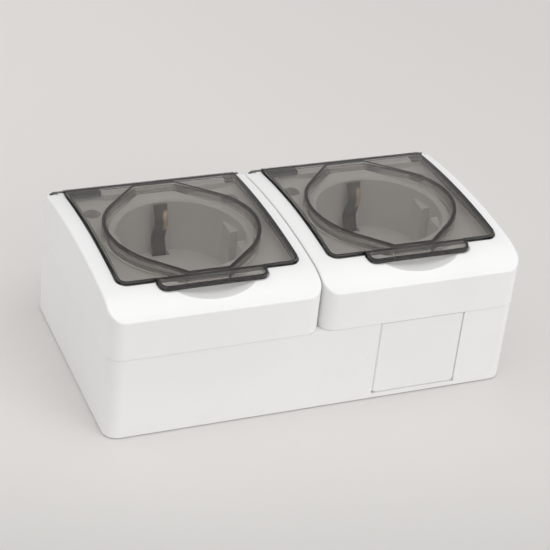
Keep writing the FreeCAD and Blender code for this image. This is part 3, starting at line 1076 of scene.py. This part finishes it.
    def painted_shade_band(self, depth: ShadeBand) -> bpy.types.Object:
        """Build and dress one band of painted shade under the lid's arched top.

        Args:
            depth: the band.

        Returns:
            Its object.
        """
        lines = [
            [(self.side.x + x, y, self.height(y) - depth.top) for x, y in depth.line(inset)]
            for inset in depth.insets
        ]
        name = f"{depth.label}_{self.side.value}"
        return dress(band(name, lines, (0.0, 0.0, -depth.height), depth.closed), depth.look)

    def skin(self) -> bpy.types.Object:
        """The lid itself, in place of its CAD node.

        Returns:
            Its object.
        """
        name = f"lid_{self.side.value}"
        obj = finish_mesh(joined_copy(name), f"smoky_{name}", self.smooth)
        dress(obj, self.finishes.smoky)
        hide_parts(name)
        return obj

    def build(self) -> List[str]:
        """Build the lid's pieces.

        Returns:
            The pieces' names.
        """
        pieces = [self.skin()] + [self.painted_shade_band(depth) for depth in self.shade_bands()]
        for obj in pieces:
            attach(obj, f"lid_{self.side.value}")
        return [obj.name for obj in pieces]


@dataclass
class EarthStrap:
    """Sprung earth strap: a smooth bronze strip, bulged inwards on both sides of the well.

    The right leg is given in millimetres as y and z, from under the well's floor to its top. The
    left leg mirrors it and ends a little lower.
    """

    side: Side
    finishes: Finishes
    leg: Tuple[Point, ...] = (
        (0.0, 22.02), (12.0, 22.02), (16.4, 22.1), (16.9, 24.0), (17.1, 26.2), (18.75, 29.3),
        (18.8, 31.2), (17.7, 34.2), (17.0, 36.4), (17.45, 38.6), (18.3, 40.8), (18.75, 42.3),
    )
    leg_steps: int = 5
    half: float = 2.15 * MM
    thick: float = 0.7 * MM
    aside: float = 0.4 * MM
    crown: float = 0.35 * MM
    bulge_z: float = 36.4 * MM
    bulge_run: float = 3.2 * MM
    strips: int = 8
    smooth: float = 50.0

    def line(self) -> List[Point]:
        """Middle of the strip.

        Returns:
            Points as y and z, from the left wall under the floor to the right wall.
        """
        right = [(y * MM, z * MM) for y, z in self.leg]
        left = [(-y, z) for y, z in right[-2:0:-1]]
        return smooth_line(left + right, self.leg_steps)

    def place(self, line: Sequence[Point], i: int, across: float) -> Place:
        """A point of the strip's outer face.

        Args:
            line: the strip's middle line.
            i: the place along that line.
            across: the place across the strip, from -1 to 1.

        Returns:
            The point.
        """
        y, z = line[i]
        ahead, behind = line[min(i + 1, len(line) - 1)], line[max(i - 1, 0)]
        along = (Vector(ahead) - Vector(behind)).normalized()
        out = Vector((-along.y, along.x))
        bulge = math.exp(-((z - self.bulge_z) / self.bulge_run) ** 2) * self.crown
        point = Vector((y, z)) + out * (self.thick / 2 + bulge * (1.0 - across ** 2))
        return (self.side.x - self.aside + across * self.half, point.x, point.y)

    def build(self) -> List[str]:
        """Build the strip.

        Returns:
            The pieces' names.
        """
        s = self.side.value
        line = self.line()
        last = len(line) - 1
        bm = bmesh.new()
        bmesh.ops.create_grid(bm, x_segments=self.strips, y_segments=last, size=1.0)
        for vert in bm.verts:
            i = round((vert.co.y + 1.0) / 2.0 * last)
            vert.co = self.place(line, i, vert.co.x)
        bm.normal_update()
        bmesh.ops.solidify(bm, geom=bm.faces[:], thickness=self.thick)
        bmesh.ops.recalc_face_normals(bm, faces=bm.faces)
        obj = finish_mesh(bm, f"bronze_strap_{s}", self.smooth)
        dress(obj, self.finishes.strap[self.side])
        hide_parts(f"earth_strap_{s}")
        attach(obj, "housing")
        return [obj.name]


@dataclass
class Fasteners:
    """Screws of the covers, mechanisms, clamps and wells."""

    finishes: Finishes
    names: Tuple[str, ...] = ("cover_screws", "mechanism_screws", "clamp_screws", "well_screws")

    def build(self) -> List[str]:
        """Dress the screws.

        Returns:
            The pieces' names.
        """
        for name in self.names:
            dress(node(name), self.finishes.screw)
        return list(self.names)


@dataclass(frozen=True)
class Lamp:
    """One soft square lamp: where it hangs, the point it faces, its side and its watts."""

    name: str
    place: Place
    aim: Place
    size: float
    power: float

    def hang(self) -> None:
        """Put the lamp in the scene."""
        data = bpy.data.lights.new(self.name, "AREA")
        data.shape = "SQUARE"
        data.size = self.size
        data.energy = self.power
        obj = bpy.data.objects.new(self.name, data)
        obj.location = self.place
        way = Vector(self.aim) - Vector(self.place)
        obj.rotation_euler = way.to_track_quat("-Z", "Y").to_euler()
        bpy.context.scene.collection.objects.link(obj)


@dataclass
class Studio:
    """Floor, lamps, sky and the camera at the photograph's place.

    The sky is dimmer low behind the object and towards its front left corner.
    """

    finishes: Finishes
    eye: Place = (-0.198204, -0.427961, 0.317203)
    turn: Place = (57.9729, -5.28094, -21.5224)
    lens: float = 115.697
    sensor: float = 36.0
    shift: Span = (0.003872, 0.001498)
    clip: Span = (0.01, 50.0)
    floor_size: float = 6.0
    floor_gap: float = 0.35 * MM
    sky_colour: Colour = (1.0, 0.995, 0.985)
    sky_level: float = 0.97
    behind_way: Place = (0.348, 0.752, 0.557)
    behind_span: Span = (0.72, 0.92)
    behind_level: float = 0.48
    corner_way: Place = (-0.62, -0.785, 0.0)
    corner_span: Span = (0.8, 0.97)
    corner_level: float = 0.52
    lamps: Tuple[Lamp, ...] = (
        Lamp("key", (0.15, -0.25, 1.25), (0.0, 0.0, 0.0), 0.9, 2.1),
        Lamp("front", (0.8, -1.2, 0.6), (0.0, 0.0, 0.02), 0.8, 3.8),
    )

    def camera(self) -> None:
        """Place the camera."""
        data = bpy.data.cameras.new("camera")
        data.lens = self.lens
        data.sensor_width = self.sensor
        data.shift_x, data.shift_y = self.shift
        data.clip_start, data.clip_end = self.clip
        obj = bpy.data.objects.new("camera", data)
        obj.location = self.eye
        obj.rotation_euler = Euler([math.radians(a) for a in self.turn], "XYZ")
        bpy.context.scene.collection.objects.link(obj)
        bpy.context.scene.camera = obj

    def floor(self) -> None:
        """Lay the floor just under the base's back."""
        bm = bmesh.new()
        under = Matrix.Translation((0.0, 0.0, -self.floor_gap))
        bmesh.ops.create_grid(bm, x_segments=1, y_segments=1, size=self.floor_size, matrix=under)
        obj = dress(finish_mesh(bm, "floor", 0.0), self.finishes.floor)

    def glow(self, g: Graph, level: float) -> Value:
        """Even light of one level."""
        return g.shade("ShaderNodeBackground", Color=self.sky_colour, Strength=level)

    def sky(self) -> None:
        """Soft light from all round, dimmer in two places."""
        g = Graph("studio", world=True)
        behind = g.towards(self.behind_way, self.behind_span)
        corner = g.towards(self.corner_way, self.corner_span)
        light = g.mix(behind, self.glow(g, self.sky_level), self.glow(g, self.behind_level))
        light = g.mix(corner, light, self.glow(g, self.corner_level))
        bpy.context.scene.world = g.close(light)

    def build(self) -> None:
        """Build the studio."""
        self.floor()
        self.sky()
        for lamp in self.lamps:
            lamp.hang()
        self.camera()
        view = bpy.context.scene.view_settings
        view.view_transform = "Standard"


def main() -> None:
    """Build every sub-assembly in order and report its pieces."""
    logging.basicConfig(level=logging.INFO, format="%(name)s: %(message)s")
    finishes = Finishes()
    parts: List[Any] = [Housing(finishes), Fasteners(finishes)]
    for side in Side:
        parts += [Outlet(side, finishes), EarthStrap(side, finishes), Lid(side, finishes)]
    for part in parts:
        for piece in part.build():
            LOG.info("%s: %s", type(part).__name__, piece)
    Studio(finishes).build()


if __name__ == "__main__":
    main()
